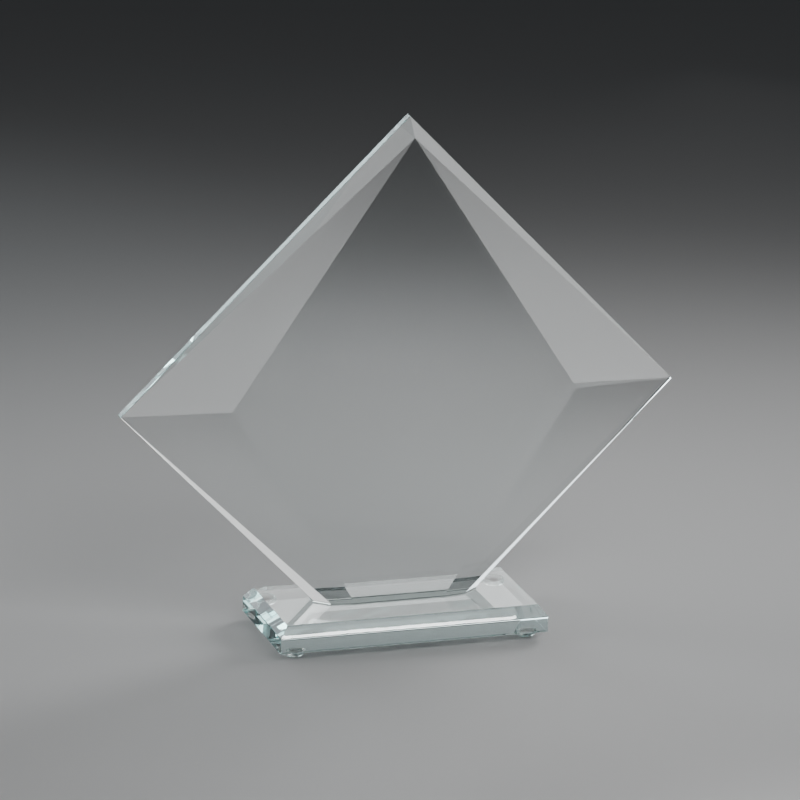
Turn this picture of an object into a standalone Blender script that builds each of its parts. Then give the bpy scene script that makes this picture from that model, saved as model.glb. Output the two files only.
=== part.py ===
"""Diamond crystal award: a faceted glass diamond standing on a bevelled glass base.

The award is a square plate of clear glass stood on one corner. The lowest
corner is ground off flat, and that flat is bonded with clear UV-curing
adhesive to the top of a rectangular glass base. The base has a broad polished
bevel round its top and stands on four clear self-adhesive bumper feet.

Frame: metres, +Z up. The origin is on the standing surface, under the middle
of the base. The award's cut front faces -Y, its plain back faces +Y, and the
two side corners of the diamond point along -X and +X.
"""

import math

import bmesh
import bpy
from mathutils import Vector

# --------------------------------------------------------------------------
# Driving dimensions, in metres
# --------------------------------------------------------------------------

CONTACT_GAP = 0.0002            # clearance left at every bonded or stuck interface
WELD_DISTANCE = 0.000002        # corners this close are one corner

# Glass base, ground from 10 mm stock
BASE_LENGTH = 0.1030            # along X
BASE_WIDTH = 0.0480             # along Y
BASE_WALL_HEIGHT = 0.0060       # upright wall below the bevel
BASE_BEVEL_HEIGHT = 0.0040      # vertical height of the polished bevel
BASE_BEVEL_INSET = 0.0032       # how far the bevel runs in over the top
BASE_ARRIS = 0.00030            # small polished chamfer on every sharp edge

# Feet: clear polyurethane bumpers, each on its own adhesive disc
BASE_STANDOFF = 0.0030          # standing surface to the underside of the base
FOOT_DIAMETER = 0.0085
FOOT_CONTACT_DIAMETER = 0.0034  # flat at the tip of each dome
FOOT_RIM_HEIGHT = 0.00035       # upright rim above the dome
FOOT_DISC_DIAMETER = 0.0078
FOOT_DISC_THICKNESS = 0.0002
FOOT_INSET_X = 0.0068           # foot centre to the end of the base
FOOT_INSET_Y = 0.0060           # foot centre to the long side of the base
FOOT_SIDES = 36
FOOT_DOME_RINGS = 6

# Diamond plate, ground from 10 mm stock
DIAMOND_SIDE = 0.1500           # each upper side
DIAMOND_LOWER_REACH = 0.1084    # side corners down to where the lower sides would meet
DIAMOND_CENTRE_ABOVE_BASE = 0.0865    # side corners above the underside of the base
PLATE_THICKNESS = 0.0096        # front table to back face
CUT_DEPTH = 0.0062              # front table back to the rim, above and at the side corners
FOOT_RIM_DEPTH = 0.0058         # front table back to the rim, at the bonded foot
TABLE_CORNER_X = 0.0660         # half-width of the rhombic front table
TABLE_CORNER_RISE = 0.00085     # table side corners above the diamond's side corners
BEVEL_TOP = 0.00665             # top of the table below the apex
BEVEL_BOTTOM = 0.0050           # where the table's lower edges would meet, above the rim's
FOOT_BEVEL_WIDTH = 0.0055       # width of each lower bevel at the bonded foot, along X
PLATE_ARRIS = 0.00030           # small polished chamfer round the rim

# Adhesive between the diamond and the base
BOND_THICKNESS = 0.0002
BOND_INSET = 0.0003             # the cured film stops just inside the plate's foot

# --------------------------------------------------------------------------
# Derived dimensions
# --------------------------------------------------------------------------

BASE_UNDERSIDE_Z = BASE_STANDOFF
BASE_BEVEL_Z = BASE_UNDERSIDE_Z + BASE_WALL_HEIGHT
BASE_TOP_Z = BASE_BEVEL_Z + BASE_BEVEL_HEIGHT

BOND_Z = BASE_TOP_Z + CONTACT_GAP
PLATE_FOOT_Z = BOND_Z + BOND_THICKNESS + CONTACT_GAP

HALF_DIAGONAL = DIAMOND_SIDE / math.sqrt(2.0)
CENTRE_Z = BASE_UNDERSIDE_Z + DIAMOND_CENTRE_ABOVE_BASE
APEX_Z = CENTRE_Z + HALF_DIAGONAL
FRONT_Y = -PLATE_THICKNESS / 2.0
BACK_Y = PLATE_THICKNESS / 2.0
RIM_Y = FRONT_Y + CUT_DEPTH
FOOT_RIM_X = HALF_DIAGONAL * (1.0 - (CENTRE_Z - PLATE_FOOT_Z) / DIAMOND_LOWER_REACH)
FOOT_RIM_Y = FRONT_Y + FOOT_RIM_DEPTH

FOOT_TOP_Z = BASE_UNDERSIDE_Z - 2.0 * CONTACT_GAP - FOOT_DISC_THICKNESS
FOOT_DISC_Z = FOOT_TOP_Z + CONTACT_GAP


# --------------------------------------------------------------------------
# Scene helpers
# --------------------------------------------------------------------------

def clear_scene():
    for obj in list(bpy.data.objects):
        bpy.data.objects.remove(obj, do_unlink=True)


def make_material(name, colour, roughness, metallic=0.0, transmission=0.0, ior=1.5):
    mat = bpy.data.materials.new(name)
    mat.use_nodes = True
    shader = mat.node_tree.nodes["Principled BSDF"]
    shader.inputs["Base Color"].default_value = (*colour, 1.0)
    shader.inputs["Roughness"].default_value = roughness
    shader.inputs["Metallic"].default_value = metallic
    shader.inputs["Transmission Weight"].default_value = transmission
    shader.inputs["IOR"].default_value = ior
    return mat


def finish_object(name, bm, material, parent, smooth=False, location=(0.0, 0.0, 0.0)):
    """Turn a bmesh into a named object with outward faces and one material."""
    bmesh.ops.remove_doubles(bm, verts=bm.verts, dist=WELD_DISTANCE)
    bmesh.ops.recalc_face_normals(bm, faces=bm.faces)
    mesh = bpy.data.meshes.new(name)
    bm.to_mesh(mesh)
    bm.free()
    mesh.materials.append(material)
    if smooth:
        mesh.shade_smooth()
        mesh.set_sharp_from_angle(angle=math.radians(35.0))
    obj = bpy.data.objects.new(name, mesh)
    bpy.context.scene.collection.objects.link(obj)
    obj.parent = parent
    obj.location = location
    return obj


def cut_away(bm, point, normal):
    """Grind a convex solid flat: remove what lies beyond the plane, close the cut."""
    result = bmesh.ops.bisect_plane(
        bm,
        geom=bm.verts[:] + bm.edges[:] + bm.faces[:],
        dist=1e-8,
        plane_co=Vector(point),
        plane_no=Vector(normal),
        clear_outer=True,
    )
    rim = [e for e in result["geom_cut"] if isinstance(e, bmesh.types.BMEdge)]
    if rim:
        bmesh.ops.contextual_create(bm, geom=rim)


def grind_arris(bm, point, normal_a, normal_b, width):
    """Chamfer the edge through point between two faces, equally off both."""
    a = Vector(normal_a).normalized()
    b = Vector(normal_b).normalized()
    middle = (a + b).normalized()
    half_angle = a.angle(b) / 2.0
    depth = width / 2.0 * math.tan(half_angle)
    cut_away(bm, Vector(point) - middle * depth, middle)


def box_between(low, high):
    bm = bmesh.new()
    bmesh.ops.create_cube(bm, size=1.0)
    for v in bm.verts:
        v.co = Vector([
            low[i] if v.co[i] < 0.0 else high[i] for i in range(3)
        ])
    return bm


def plane_normal(a, b, c, towards):
    """Unit normal of the plane through three points, on the side of towards."""
    a, b, c = Vector(a), Vector(b), Vector(c)
    n = (b - a).cross(c - a).normalized()
    return n if n.dot(Vector(towards)) > 0.0 else -n


# --------------------------------------------------------------------------
# Glass base
# --------------------------------------------------------------------------

def build_base(material, parent):
    half_l = BASE_LENGTH / 2.0
    half_w = BASE_WIDTH / 2.0
    bm = box_between((-half_l, -half_w, BASE_UNDERSIDE_Z), (half_l, half_w, BASE_TOP_Z))

    # Broad polished bevel along the four top edges, mitred at the corners
    run, rise = BASE_BEVEL_INSET, BASE_BEVEL_HEIGHT
    for sx, sy in ((1, 0), (-1, 0), (0, 1), (0, -1)):
        point = (sx * half_l, sy * half_w, BASE_BEVEL_Z)
        cut_away(bm, point, (sx * rise, sy * rise, run))

    # Polished arrises: upright corners, underside edges, and the bevel's lower edge
    for sx in (1, -1):
        for sy in (1, -1):
            grind_arris(bm, (sx * half_l, sy * half_w, BASE_UNDERSIDE_Z),
                        (sx, 0, 0), (0, sy, 0), BASE_ARRIS)
    for sx, sy in ((1, 0), (-1, 0), (0, 1), (0, -1)):
        grind_arris(bm, (sx * half_l, sy * half_w, BASE_UNDERSIDE_Z),
                    (sx, sy, 0), (0, 0, -1), BASE_ARRIS)
        grind_arris(bm, (sx * half_l, sy * half_w, BASE_BEVEL_Z),
                    (sx, sy, 0), (sx * rise, sy * rise, run), BASE_ARRIS)
    return finish_object("glass_base", bm, material, parent)


# --------------------------------------------------------------------------
# Diamond plate
# --------------------------------------------------------------------------

def diamond_corners(sx):
    """Corners of the cut front on one side: sx is -1 for the left, 1 for the right."""
    return {
        "side": Vector((sx * HALF_DIAGONAL, RIM_Y, CENTRE_Z)),
        "table_side": Vector((sx * TABLE_CORNER_X, FRONT_Y, CENTRE_Z + TABLE_CORNER_RISE)),
        "table_top": Vector((0.0, FRONT_Y, APEX_Z - BEVEL_TOP)),
        "table_bottom": Vector((0.0, FRONT_Y, CENTRE_Z - DIAMOND_LOWER_REACH + BEVEL_BOTTOM)),
        "apex": Vector((0.0, RIM_Y, APEX_Z)),
        "foot_rim": Vector((sx * FOOT_RIM_X, FOOT_RIM_Y, PLATE_FOOT_Z)),
        "foot_ridge": foot_ridge(sx),
    }


def foot_ridge(sx):
    """Where the ridge between the lower facet and the lower bevel meets the foot."""
    side = Vector((sx * HALF_DIAGONAL, RIM_Y, CENTRE_Z))
    table_side = Vector((sx * TABLE_CORNER_X, FRONT_Y, CENTRE_Z + TABLE_CORNER_RISE))
    table_bottom = Vector((0.0, FRONT_Y, CENTRE_Z - DIAMOND_LOWER_REACH + BEVEL_BOTTOM))
    n = plane_normal(side, table_side, table_bottom, (sx, -1.0, -1.0))
    x = sx * (FOOT_RIM_X - FOOT_BEVEL_WIDTH)
    z = PLATE_FOOT_Z
    y = side.y - (n.x * (x - side.x) + n.z * (z - side.z)) / n.y
    return Vector((x, y, z))


def build_diamond(material, parent):
    """Grind the diamond from a slab, one face at a time, as a glass cutter does."""
    d = HALF_DIAGONAL
    bm = box_between((-1.5 * d, FRONT_Y, PLATE_FOOT_Z), (1.5 * d, BACK_Y, CENTRE_Z + 1.5 * d))

    # Outline, stood on its corner; the slab's lower face is the ground foot
    upper_wall, lower_wall = (d, d), (DIAMOND_LOWER_REACH, -d)
    for sx in (1, -1):
        for wx, wz in (upper_wall, lower_wall):
            cut_away(bm, (sx * d, 0.0, CENTRE_Z), (sx * wx, 0.0, wz))

    # Four large facets beside the table, and four narrow bevels between them and the rim
    bevels = []
    for sx in (1, -1):
        c = diamond_corners(sx)
        for sz, table_end, rim_end, ridge_end, wall in (
                (1, c["table_top"], c["apex"], c["table_top"], upper_wall),
                (-1, c["table_bottom"], c["foot_rim"], c["foot_ridge"], lower_wall)):
            outward = (sx, -1.0, sz)
            cut_away(bm, c["side"], plane_normal(c["side"], c["table_side"], table_end, outward))
            bevel = plane_normal(c["side"], rim_end, ridge_end, outward)
            cut_away(bm, c["side"], bevel)
            bevels.append((c["side"], (sx * wall[0], 0.0, wall[1]), bevel))

    # Polished arrises along the rim, behind and in front
    for side, wall, bevel in bevels:
        grind_arris(bm, (side.x, BACK_Y, side.z), wall, (0, 1, 0), PLATE_ARRIS)
        grind_arris(bm, side, wall, bevel, PLATE_ARRIS)
    # The apex and the side corners are eased so that they are not needle sharp
    for corner, outward in (((0, 0, APEX_Z), (0, 0, 1)),
                            ((d, 0, CENTRE_Z), (1, 0, 0)),
                            ((-d, 0, CENTRE_Z), (-1, 0, 0))):
        cut_away(bm, Vector(corner) - Vector(outward) * PLATE_ARRIS * 0.5, outward)
    return finish_object("diamond_plate", bm, material, parent)


def diamond_foot_outline(inset):
    """The plate's bonded foot seen from above, drawn in by inset all round."""
    drop = CENTRE_Z - PLATE_FOOT_Z
    ridge = foot_ridge(1)
    table_x = TABLE_CORNER_X * (
        1.0 - (drop + TABLE_CORNER_RISE)
        / (DIAMOND_LOWER_REACH - BEVEL_BOTTOM + TABLE_CORNER_RISE))
    half = [
        (FOOT_RIM_X - inset, BACK_Y - inset),
        (FOOT_RIM_X - inset, FOOT_RIM_Y + inset),
        (ridge.x - inset * 0.3, ridge.y + inset),
        (table_x - inset * 0.2, FRONT_Y + inset),
    ]
    return half + [(-x, y) for x, y in reversed(half)]


def build_bond(material, parent):
    """Thin cured film of adhesive under the plate's foot."""
    bm = bmesh.new()
    verts = [bm.verts.new((x, y, BOND_Z)) for x, y in diamond_foot_outline(BOND_INSET)]
    face = bm.faces.new(verts)
    grown = bmesh.ops.extrude_face_region(bm, geom=[face])
    lifted = [v for v in grown["geom"] if isinstance(v, bmesh.types.BMVert)]
    bmesh.ops.translate(bm, verts=lifted, vec=(0.0, 0.0, BOND_THICKNESS))
    return finish_object("uv_bond_film", bm, material, parent)


# --------------------------------------------------------------------------
# Bumper feet
# --------------------------------------------------------------------------

def foot_profile():
    """Radius and height of a bumper foot, from its contact flat up to its back."""
    radius = FOOT_DIAMETER / 2.0
    flat = FOOT_CONTACT_DIAMETER / 2.0
    dome_top = FOOT_TOP_Z - FOOT_RIM_HEIGHT
    # Part of an ellipse whose lowest ring is the contact flat
    start = math.asin(flat / radius)
    span = math.cos(start)
    points = []
    for i in range(FOOT_DOME_RINGS + 1):
        angle = start + (math.pi / 2.0 - start) * i / FOOT_DOME_RINGS
        z = dome_top * (1.0 - math.cos(angle) / span)
        points.append((radius * math.sin(angle), z))
    points.append((radius, FOOT_TOP_Z))
    return points


def turned_mesh(profile, sides):
    """Closed solid of revolution about Z, flat at both ends."""
    bm = bmesh.new()
    rings = []
    for r, z in profile:
        ring = []
        for k in range(sides):
            a = 2.0 * math.pi * k / sides
            ring.append(bm.verts.new((r * math.cos(a), r * math.sin(a), z)))
        rings.append(ring)
    bm.faces.new(list(reversed(rings[0])))
    bm.faces.new(rings[-1])
    for lower, upper in zip(rings, rings[1:]):
        for k in range(sides):
            n = (k + 1) % sides
            bm.faces.new((lower[k], lower[n], upper[n], upper[k]))
    return bm


def build_feet(foot_material, disc_material, parent):
    x = BASE_LENGTH / 2.0 - FOOT_INSET_X
    y = BASE_WIDTH / 2.0 - FOOT_INSET_Y
    places = {
        "front_left": (-x, -y),
        "front_right": (x, -y),
        "rear_left": (-x, y),
        "rear_right": (x, y),
    }
    for place, (fx, fy) in places.items():
        finish_object("foot_" + place, turned_mesh(foot_profile(), FOOT_SIDES),
                      foot_material, parent, smooth=True, location=(fx, fy, 0.0))
        r = FOOT_DISC_DIAMETER / 2.0
        disc = [(r, FOOT_DISC_Z), (r, FOOT_DISC_Z + FOOT_DISC_THICKNESS)]
        finish_object("foot_adhesive_" + place, turned_mesh(disc, FOOT_SIDES),
                      disc_material, parent, smooth=True, location=(fx, fy, 0.0))


# --------------------------------------------------------------------------
# Assembly
# --------------------------------------------------------------------------

def main():
    clear_scene()
    award = bpy.data.objects.new("award", None)
    bpy.context.scene.collection.objects.link(award)

    plate_glass = make_material("plate_glass", (0.93, 0.97, 0.955), 0.01,
                                transmission=1.0, ior=1.52)
    base_glass = make_material("base_glass", (0.90, 0.96, 0.945), 0.01,
                               transmission=1.0, ior=1.52)
    adhesive = make_material("cured_adhesive", (0.95, 0.96, 0.95), 0.03,
                             transmission=1.0, ior=1.50)
    bumper = make_material("clear_bumper", (0.90, 0.92, 0.91), 0.12,
                           transmission=0.9, ior=1.48)
    disc = make_material("bumper_adhesive", (0.88, 0.90, 0.89), 0.30,
                         transmission=0.8, ior=1.47)

    build_base(base_glass, award)
    build_bond(adhesive, award)
    build_diamond(plate_glass, award)
    build_feet(bumper, disc, award)


main()
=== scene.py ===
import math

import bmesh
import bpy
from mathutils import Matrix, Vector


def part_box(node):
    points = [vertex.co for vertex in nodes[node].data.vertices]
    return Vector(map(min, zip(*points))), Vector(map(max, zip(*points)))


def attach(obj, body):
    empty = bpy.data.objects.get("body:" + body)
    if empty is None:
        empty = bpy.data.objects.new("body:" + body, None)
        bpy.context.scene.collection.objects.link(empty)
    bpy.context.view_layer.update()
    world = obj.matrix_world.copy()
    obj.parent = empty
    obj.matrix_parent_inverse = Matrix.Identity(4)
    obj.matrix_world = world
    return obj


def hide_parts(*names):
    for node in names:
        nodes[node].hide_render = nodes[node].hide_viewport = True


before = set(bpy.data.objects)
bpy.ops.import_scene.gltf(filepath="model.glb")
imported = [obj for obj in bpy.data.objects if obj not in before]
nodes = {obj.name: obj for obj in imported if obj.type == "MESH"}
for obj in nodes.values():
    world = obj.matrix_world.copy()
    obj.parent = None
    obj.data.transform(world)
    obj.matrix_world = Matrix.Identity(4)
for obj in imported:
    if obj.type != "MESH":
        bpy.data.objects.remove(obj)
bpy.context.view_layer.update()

# Looks of the diamond crystal award: a faceted plate of clear glass bonded on its
# ground-off corner to a bevelled glass base, on four clear bumper feet.
#
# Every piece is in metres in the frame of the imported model. The CAD solids give
# all the planes; the visible pieces are cut back from them, never grown.

scene = bpy.context.scene

# --------------------------------------------------------------------------
# Camera: front left of the award, looking down a little, rolled slightly
# --------------------------------------------------------------------------

camera_data = bpy.data.cameras.new("award_camera")
camera_data.lens = 235.04
camera_data.sensor_width = 36.0
camera_data.clip_start = 0.05
camera_data.clip_end = 60.0
camera = bpy.data.objects.new("award_camera", camera_data)
scene.collection.objects.link(camera)
camera_right = Vector((0.9479323, -0.3169145, 0.0314585))
camera_up = Vector((0.0683351, 0.2988833, 0.9518399))
camera_back = -Vector((0.3110542, 0.9001300, -0.3049775))
camera.matrix_world = Matrix.Translation((-0.5928988, -1.7134526, 0.6695363)) @ Matrix((
    (camera_right.x, camera_up.x, camera_back.x),
    (camera_right.y, camera_up.y, camera_back.y),
    (camera_right.z, camera_up.z, camera_back.z),
)).to_4x4()
scene.camera = camera

# --------------------------------------------------------------------------
# Places read from the CAD solids
# --------------------------------------------------------------------------

base_low, base_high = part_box("glass_base")
plate_low, plate_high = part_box("diamond_plate")
film_low, film_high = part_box("uv_bond_film")
FOOT_NAMES = ("front_left", "front_right", "rear_left", "rear_right")
foot_boxes = {n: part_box("foot_" + n) for n in FOOT_NAMES}
disc_boxes = {n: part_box("foot_adhesive_" + n) for n in FOOT_NAMES}

BASE_UNDER = base_low.z
BASE_TOP = base_high.z
PLATE_FOOT = plate_low.z
SKIN = 0.00001            # visible pieces in full contact stop this far apart


# --------------------------------------------------------------------------
# Mesh helpers
# --------------------------------------------------------------------------

def welded(node):
    """The CAD solid's shape with its split corners and coplanar triangles joined."""
    bm = bmesh.new()
    bm.from_mesh(nodes[node].data)
    bmesh.ops.remove_doubles(bm, verts=bm.verts[:], dist=0.000001)
    bmesh.ops.dissolve_limit(
        bm, angle_limit=math.radians(0.3), verts=bm.verts[:], edges=bm.edges[:])
    bmesh.ops.recalc_face_normals(bm, faces=bm.faces[:])
    return bm


def face_width(face):
    """Rough width of a long thin face: twice its area over its perimeter."""
    return 2.0 * face.calc_area() / face.calc_perimeter()


def lay_down(name, bm, material, slot, *replaced, smooth=False):
    """Finish bm as the visible piece that stands for some CAD nodes."""
    mesh = bpy.data.meshes.new(name)
    bmesh.ops.triangulate(bm, faces=[f for f in bm.faces if len(f.verts) > 4])
    bm.to_mesh(mesh)
    bm.free()
    for polygon in mesh.polygons:
        polygon.use_smooth = smooth
    if smooth:
        mesh.set_sharp_from_angle(angle=math.radians(35.0))
    piece = bpy.data.objects.new(name, mesh)
    scene.collection.objects.link(piece)
    mesh.materials.append(material)
    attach(piece, "root")
    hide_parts(*replaced)
    return piece


def round_arrises(bm, radius, segments, narrow=0.00035):
    """Round the edges of the narrow ground chamfers and mark what they become."""
    mark = bm.faces.layers.float.new("arris")
    chamfers = {f for f in bm.faces if face_width(f) < narrow}
    for face in chamfers:
        face[mark] = 1.0
    edges = [e for e in bm.edges
             if any(f in chamfers for f in e.link_faces)
             and e.calc_face_angle(0.0) > math.radians(3.0)]
    made = bmesh.ops.bevel(
        bm, geom=edges, offset=radius, offset_type="OFFSET", segments=segments,
        profile=0.5, affect="EDGES", clamp_overlap=True)
    for face in made["faces"]:
        face[mark] = 1.0
    return bm


# --------------------------------------------------------------------------
# Material helpers
# --------------------------------------------------------------------------

class Tree:
    """A little shorthand for building a material's node tree."""

    def __init__(self, name):
        self.material = bpy.data.materials.new(name)
        self.material.use_nodes = True
        self.tree = self.material.node_tree
        self.tree.nodes.clear()
        self.output = self.tree.nodes.new("ShaderNodeOutputMaterial")

    def node(self, kind, **settings):
        made = self.tree.nodes.new(kind)
        for key, value in settings.items():
            setattr(made, key, value)
        return made

    def link(self, source, target):
        self.tree.links.new(source, target)

    def put(self, socket, value):
        if isinstance(value, bpy.types.NodeSocket):
            self.link(value, socket)
        else:
            socket.default_value = value

    def math(self, operation, a, b=None, c=None):
        made = self.node("ShaderNodeMath", operation=operation)
        for socket, value in zip(made.inputs, (a, b, c)):
            if value is not None:
                self.put(socket, value)
        return made.outputs[0]

    def object_coordinates(self):
        return self.node("ShaderNodeTexCoord").outputs["Object"]

    def split(self, vector):
        made = self.node("ShaderNodeSeparateXYZ")
        self.link(vector, made.inputs[0])
        return made.outputs

    def noise(self, vector, scale, detail=2.0, roughness=0.5, distortion=0.0):
        made = self.node("ShaderNodeTexNoise", noise_dimensions="3D")
        self.link(vector, made.inputs["Vector"])
        made.inputs["Scale"].default_value = scale
        made.inputs["Detail"].default_value = detail
        made.inputs["Roughness"].default_value = roughness
        made.inputs["Distortion"].default_value = distortion
        return made.outputs["Fac"]

    def range(self, value, low, high, to_low, to_high, smooth=False):
        made = self.node("ShaderNodeMapRange", clamp=True)
        if smooth:
            made.interpolation_type = "SMOOTHSTEP"
        self.link(value, made.inputs["Value"])
        made.inputs["From Min"].default_value = low
        made.inputs["From Max"].default_value = high
        made.inputs["To Min"].default_value = to_low
        made.inputs["To Max"].default_value = to_high
        return made.outputs["Result"]


def both(t, *masks):
    """1 where every mask is 1."""
    result = masks[0]
    for mask in masks[1:]:
        result = t.math("MULTIPLY", result, mask)
    return result


# The ground-off foot of the plate, seen from above, read from the CAD solid
foot_ring = sorted(
    {(round(v.co.x, 7), round(v.co.y, 7)) for v in nodes["uv_bond_film"].data.vertices},
    key=lambda p: math.atan2(p[1], p[0]))


def bonded_patch(t, x, y):
    """1 under the plate's foot, where adhesive wets both glass faces."""
    right = [p for p in foot_ring if p[0] > 0.0]
    right.sort(key=lambda p: p[1])          # front (-Y) first
    across = t.math("ABSOLUTE", x)
    masks = [t.math("LESS_THAN", t.math("ABSOLUTE", y), max(p[1] for p in right))]
    for (ax, ay), (bx, by) in zip(right, right[1:]):
        # Inside is to the left of the outline as it runs from front to back
        nx, ny = by - ay, -(bx - ax)
        size = math.hypot(nx, ny)
        nx, ny = nx / size, ny / size
        reach = t.math("ADD", t.math("MULTIPLY", across, nx), t.math("MULTIPLY", y, ny))
        masks.append(t.math("LESS_THAN", reach, nx * ax + ny * ay))
    return both(t, *masks)


def glass(name, bonded, absorb, density, arris_roughness=0.16):
    """Clear polished glass. bonded(t, x, y, z) marks the faces that adhesive wets."""
    t = Tree(name)
    where = t.object_coordinates()
    x, y, z = t.split(where)
    p = t.node("ShaderNodeBsdfPrincipled")
    p.inputs["Transmission Weight"].default_value = 1.0
    wet = bonded(t, x, y, z)
    dry = t.math("SUBTRACT", 1.0, wet)

    # Faint wiping marks and dust on the polish, satin on the ground arrises
    marks = t.range(t.noise(where, 38.0, 4.0, 0.6, 0.8), 0.52, 0.72, 0.0, 0.012, True)
    arris = t.node("ShaderNodeAttribute", attribute_name="arris").outputs["Fac"]
    satin = t.math("MULTIPLY", arris, arris_roughness)
    rough = t.math("MULTIPLY", t.math("MAXIMUM", marks, satin), dry)
    t.link(rough, p.inputs["Roughness"])

    # Clear glass with a breath of green that varies at random over it
    tint = t.node("ShaderNodeMix", data_type="RGBA")
    t.link(t.range(t.noise(where, 9.0, 2.0), 0.3, 0.7, 0.0, 1.0), tint.inputs["Factor"])
    tint.inputs[6].default_value = (1.0, 1.0, 1.0, 1.0)
    tint.inputs[7].default_value = (0.985, 0.995, 0.992, 1.0)
    t.link(tint.outputs[2], p.inputs["Base Color"])

    # 1.52 everywhere except where the adhesive makes the surface vanish
    ior = t.math("ADD", t.math("MULTIPLY", dry, 0.52), 1.0)
    t.link(ior, p.inputs["IOR"])

    # The polished faces are very slightly wavy
    bump = t.node("ShaderNodeBump")
    bump.inputs["Strength"].default_value = 0.12
    bump.inputs["Distance"].default_value = 0.00002
    t.link(t.noise(where, 45.0, 1.0), bump.inputs["Height"])
    t.link(bump.outputs["Normal"], p.inputs["Normal"])

    volume = t.node("ShaderNodeVolumeAbsorption")
    volume.inputs["Color"].default_value = (*absorb, 1.0)
    volume.inputs["Density"].default_value = density
    t.link(p.outputs[0], t.output.inputs["Surface"])
    t.link(volume.outputs[0], t.output.inputs["Volume"])
    return t.material


def plate_bond(t, x, y, z):
    return t.math("LESS_THAN", z, PLATE_FOOT + 0.000004)


foot_centre = {n: (lo + hi) / 2 for n, (lo, hi) in disc_boxes.items()}
FOOT_X = max(c.x for c in foot_centre.values())
FOOT_Y = max(c.y for c in foot_centre.values())
DISC_RADIUS = (disc_boxes["front_left"][1].x - disc_boxes["front_left"][0].x) / 2


def foot_patch(t, x, y, radius):
    """1 within radius of a foot's centre."""
    across = t.math("SUBTRACT", t.math("ABSOLUTE", x), FOOT_X)
    along = t.math("SUBTRACT", t.math("ABSOLUTE", y), FOOT_Y)
    away = t.math("SQRT", t.math("ADD", t.math("MULTIPLY", across, across),
                                 t.math("MULTIPLY", along, along)))
    return t.math("LESS_THAN", away, radius)


def base_bond(t, x, y, z):
    top = both(t, t.math("GREATER_THAN", z, BASE_TOP - 0.000004), bonded_patch(t, x, y))
    under = both(t, t.math("LESS_THAN", z, BASE_UNDER + 0.000004),
                 foot_patch(t, x, y, DISC_RADIUS))
    return t.math("MAXIMUM", top, under)


plate_glass = glass("plate_glass_polished", plate_bond, (0.40, 0.92, 0.91), 3.4)
base_glass = glass("base_glass_polished", base_bond, (0.34, 0.90, 0.89), 5.0)


def clear_resin(name, colour, ior, roughness, low, high, ripple):
    """Clear cured adhesive or soft bumper; optically wet at its top and bottom."""
    t = Tree(name)
    where = t.object_coordinates()
    x, y, z = t.split(where)
    wet = t.math("GREATER_THAN", z, high) if low is None else t.math(
        "MAXIMUM", t.math("GREATER_THAN", z, high), t.math("LESS_THAN", z, low))
    dry = t.math("SUBTRACT", 1.0, wet)
    p = t.node("ShaderNodeBsdfPrincipled")
    p.inputs["Transmission Weight"].default_value = 1.0
    cloud = t.range(t.noise(where, 900.0, 3.0), 0.3, 0.7, roughness * 0.6, roughness * 1.4)
    t.link(t.math("MULTIPLY", cloud, dry), p.inputs["Roughness"])
    t.link(t.math("ADD", t.math("MULTIPLY", dry, ior - 1.0), 1.0), p.inputs["IOR"])
    tint = t.node("ShaderNodeMix", data_type="RGBA")
    t.link(t.noise(where, 300.0, 2.0), tint.inputs["Factor"])
    tint.inputs[6].default_value = (*colour, 1.0)
    tint.inputs[7].default_value = (*(c * 0.94 for c in colour), 1.0)
    t.link(tint.outputs[2], p.inputs["Base Color"])
    bump = t.node("ShaderNodeBump")
    bump.inputs["Strength"].default_value = ripple
    bump.inputs["Distance"].default_value = 0.0001
    t.link(t.noise(where, 600.0, 2.0), bump.inputs["Height"])
    t.link(bump.outputs["Normal"], p.inputs["Normal"])
    t.link(p.outputs[0], t.output.inputs["Surface"])
    return t.material


adhesive = clear_resin("cured_uv_adhesive", (0.97, 0.985, 0.97), 1.5, 0.03,
                       BASE_TOP + 2 * SKIN, PLATE_FOOT - 2 * SKIN, 0.15)
bumper = clear_resin("clear_polyurethane", (0.93, 0.95, 0.945), 1.5, 0.14,
                     None, foot_boxes["front_left"][1].z - 0.000004, 0.1)
disc_glue = clear_resin("bumper_adhesive_film", (0.95, 0.96, 0.955), 1.5, 0.05,
                        foot_boxes["front_left"][1].z + 2 * SKIN, BASE_UNDER - 2 * SKIN, 0.1)

# --------------------------------------------------------------------------
# Diamond plate and base
# --------------------------------------------------------------------------

plate = lay_down(
    "crystal_diamond", round_arrises(welded("diamond_plate"), 0.00007, 2),
    plate_glass, "plate_glass", "diamond_plate")
base = lay_down(
    "bevelled_glass_base", round_arrises(welded("glass_base"), 0.00007, 2),
    base_glass, "base_glass", "glass_base")

# --------------------------------------------------------------------------
# Adhesive between them, with its concave fillet
# --------------------------------------------------------------------------

def ring_at(bm, outline, z):
    return [bm.verts.new((x, y, z)) for x, y in outline]


def skin_rings(bm, rings):
    for below, above in zip(rings, rings[1:]):
        for i in range(len(below)):
            j = (i + 1) % len(below)
            bm.faces.new((below[i], below[j], above[j], above[i]))
    bm.faces.new(list(reversed(rings[0])))
    bm.faces.new(rings[-1])


def grown(outline, by):
    """A convex outline moved out by a distance along its corners' bisectors."""
    made = []
    count = len(outline)
    for i, (x, y) in enumerate(outline):
        before, after = Vector(outline[i - 1]), Vector(outline[(i + 1) % count])
        here = Vector((x, y))
        a, b = (here - before).normalized(), (after - here).normalized()
        na, nb = Vector((a.y, -a.x)), Vector((b.y, -b.x))
        middle = (na + nb).normalized()
        made.append(tuple(here + middle * (by / max(0.5, middle.dot(na)))))
    return made


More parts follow.
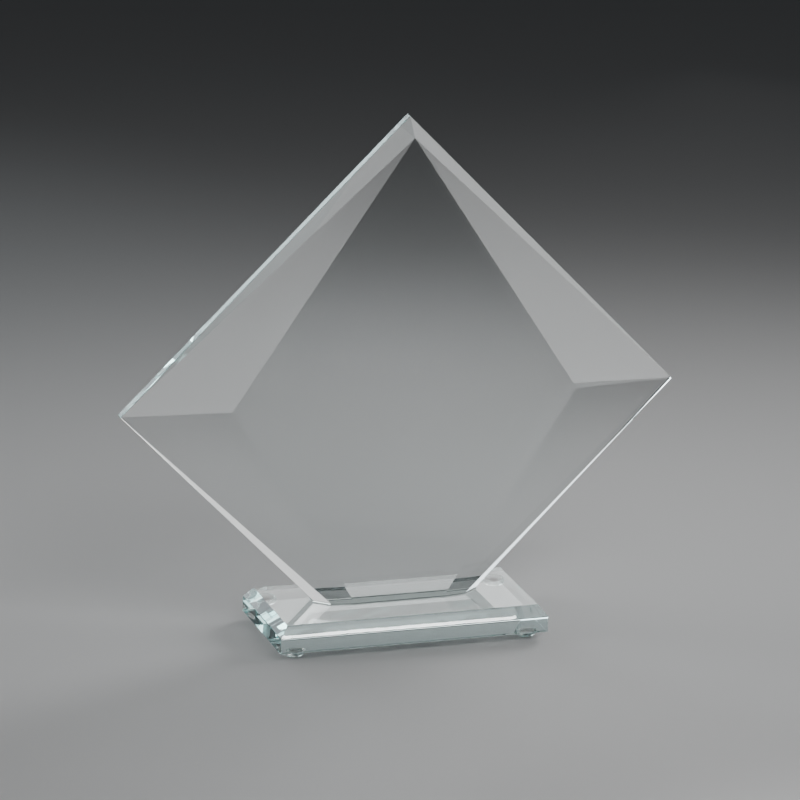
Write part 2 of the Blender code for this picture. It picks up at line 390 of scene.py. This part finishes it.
film = bmesh.new()
film_floor, film_ceiling = BASE_TOP + SKIN, PLATE_FOOT - SKIN
rings = []
for step in range(7):
    turn = step / 6 * math.pi / 2
    spread = 0.00026 + 0.00042 * (1.0 - math.sin(turn))
    rise = film_floor + (film_ceiling - film_floor) * (1.0 - math.cos(turn))
    rings.append(ring_at(film, grown(foot_ring, spread), rise))
skin_rings(film, rings)
bmesh.ops.recalc_face_normals(film, faces=film.faces[:])
lay_down("adhesive_bond_line", film, adhesive, "cured_adhesive", "uv_bond_film")

# --------------------------------------------------------------------------
# Bumper feet and their adhesive discs
# --------------------------------------------------------------------------

SIDES = 72


def turned(centre, profile):
    """A solid turned round the vertical through centre; profile runs bottom to top."""
    bm = bmesh.new()
    rings = [[bm.verts.new((centre.x + r * math.cos(2 * math.pi * i / SIDES),
                            centre.y + r * math.sin(2 * math.pi * i / SIDES), z))
              for i in range(SIDES)] for r, z in profile]
    skin_rings(bm, rings)
    bmesh.ops.recalc_face_normals(bm, faces=bm.faces[:])
    return bm


for name in FOOT_NAMES:
    low, high = foot_boxes[name]
    centre = (low + high) / 2
    radius = (high.x - low.x) / 2
    rim = high.z - 0.00035
    tip = 0.0017
    start = math.asin(tip / radius)
    profile = []
    for step in range(15):
        turn = start + (math.pi / 2 - start) * step / 14
        drop = (rim - low.z) * math.cos(turn) / math.cos(start)
        profile.append((radius * math.sin(turn), rim - drop))
    profile.append((radius, high.z - 0.00012))
    for step in range(1, 5):
        turn = math.pi / 2 * step / 4
        profile.append((radius - 0.00012 * (1.0 - math.cos(turn)),
                        high.z - 0.00012 * (1.0 - math.sin(turn))))
    lay_down("bumper_" + name, turned(centre, profile), bumper, "clear_bumper",
             "foot_" + name, smooth=True)

    disc_low, disc_high = disc_boxes[name]
    disc_radius = (disc_high.x - disc_low.x) / 2
    floor, ceiling = high.z + SKIN, BASE_UNDER - SKIN
    middle = (floor + ceiling) / 2
    lay_down("bumper_adhesive_" + name, turned(centre, [
        (disc_radius, floor),
        (disc_radius - 0.00006, middle - 0.00012),
        (disc_radius - 0.00008, middle),
        (disc_radius - 0.00006, middle + 0.00012),
        (disc_radius, ceiling),
    ]), disc_glue, "bumper_adhesive", "foot_adhesive_" + name, smooth=True)

# --------------------------------------------------------------------------
# Pale floor
# --------------------------------------------------------------------------

def build_floor():
    bm = bmesh.new()
    bmesh.ops.create_grid(bm, x_segments=24, y_segments=24, size=7.0)
    mesh = bpy.data.meshes.new("studio_floor")
    bm.to_mesh(mesh)
    bm.free()
    floor = bpy.data.objects.new("studio_floor", mesh)
    scene.collection.objects.link(floor)
    t = Tree("pale_studio_floor")
    where = t.object_coordinates()
    p = t.node("ShaderNodeBsdfPrincipled")
    mix = t.node("ShaderNodeMix", data_type="RGBA")
    t.link(t.noise(where, 3.0, 5.0), mix.inputs["Factor"])
    mix.inputs[6].default_value = (0.74, 0.74, 0.74, 1.0)
    mix.inputs[7].default_value = (0.77, 0.77, 0.77, 1.0)
    t.link(mix.outputs[2], p.inputs["Base Color"])
    p.inputs["Roughness"].default_value = 0.8
    p.inputs["Specular IOR Level"].default_value = 0.2
    t.link(p.outputs[0], t.output.inputs["Surface"])
    mesh.materials.append(t.material)


build_floor()

# --------------------------------------------------------------------------
# Soft studio light
# --------------------------------------------------------------------------

def softbox(name, place, aim, width, height, power, colour=(1.0, 1.0, 1.0), spread=180.0):
    data = bpy.data.lights.new(name, "AREA")
    data.shape = "RECTANGLE"
    data.size = width
    data.size_y = height
    data.energy = power
    data.color = colour
    data.spread = math.radians(spread)
    lamp = bpy.data.objects.new(name, data)
    scene.collection.objects.link(lamp)
    lamp.location = place
    lamp.rotation_mode = "QUATERNION"
    lamp.rotation_quaternion = (Vector(aim) - Vector(place)).to_track_quat("-Z", "Y")
    lamp.visible_camera = False
    return lamp


def glow(radiance, width, height, spread):
    """Power of a softbox of this size and spread that shines with this radiance."""
    half = math.radians(min(spread, 179.9)) / 2
    return radiance * math.pi * width * height * (math.tan(half) - half) / math.tan(half)


HEART = Vector((0.0, 0.0, 0.07))


def ring_box(name, azimuth, elevation, distance, width, height, radiance,
             colour=(1.0, 1.0, 1.0), spread=180.0, heart=HEART):
    """A softbox facing the award. Azimuth 0 is behind it (+Y), 90 on its right (+X)."""
    a, e = math.radians(azimuth), math.radians(elevation)
    place = heart + distance * Vector((math.sin(a) * math.cos(e), math.cos(a) * math.cos(e),
                                       math.sin(e)))
    return softbox(name, place, heart, width, height,
                   glow(radiance, width, height, spread), colour, spread)


COOL = (0.88, 0.96, 1.0)
ring_box("right_softbox", 92.0, 18.0, 0.85, 0.60, 0.46, 2.2, spread=90.0)
ring_box("left_softbox", -72.0, 18.0, 0.85, 0.60, 0.46, 2.2, spread=90.0)
softbox("top_softbox", (0.14, -0.82, 0.86), (0.0, -0.24, 0.0), 0.76, 0.40,
        glow(3.5, 0.76, 0.40, 74.0), spread=74.0)
ring_box("rear_right_strip", 57.0, 27.0, 0.80, 0.34, 0.32, 7.0, spread=60.0)
ring_box("rear_left_strip", -17.0, 17.5, 0.95, 0.46, 0.44, 4.0, COOL, spread=44.0)
ring_box("rear_low_strip", 41.0, 3.0, 0.90, 0.38, 0.20, 0.85, spread=60.0)
ring_box("rear_softbox", 22.0, 21.0, 1.05, 0.50, 0.26, 2.2, spread=44.0)
# Low boxes that the two upper cut facets mirror towards the camera
left_box = softbox("facet_box_left", (-0.055, -0.60, 0.092), (-0.05, 0.0, 0.145), 0.30, 0.19,
        glow(2.0, 0.30, 0.19, 70.0), spread=70.0)
right_box = softbox("facet_box_right", (0.51, -0.60, 0.082), (0.05, 0.0, 0.145), 0.30, 0.17,
        glow(3.0, 0.30, 0.17, 70.0), spread=70.0)

# Mirrored only: they would show through the plate from behind
for box in (left_box, right_box):
    box.visible_transmission = False

# A narrow strip whose mirror image fills the lower part of the base's front bevel
softbox("bevel_strip", (0.275, -0.5595, 0.7945), (0.275, -0.0008, -0.0349), 0.19, 0.012,
        glow(34.0, 0.19, 0.012, 120.0), spread=120.0)

# A pool of light on the floor in front, which the front table mirrors faintly
softbox("foreground_pool", (0.10, -0.38, 0.62), (0.10, -0.34, 0.0), 0.10, 0.10,
        glow(120.0, 0.10, 0.10, 28.0), spread=28.0)

world = bpy.data.worlds.new("studio_surround")
world.use_nodes = True
background = world.node_tree.nodes["Background"]
background.inputs["Color"].default_value = (0.80, 0.84, 0.88, 1.0)
background.inputs["Strength"].default_value = 0.05
scene.world = world

scene.view_settings.look = "AgX - Medium High Contrast"
scene.cycles.max_bounces = 96
scene.cycles.transmission_bounces = 96
scene.cycles.glossy_bounces = 96
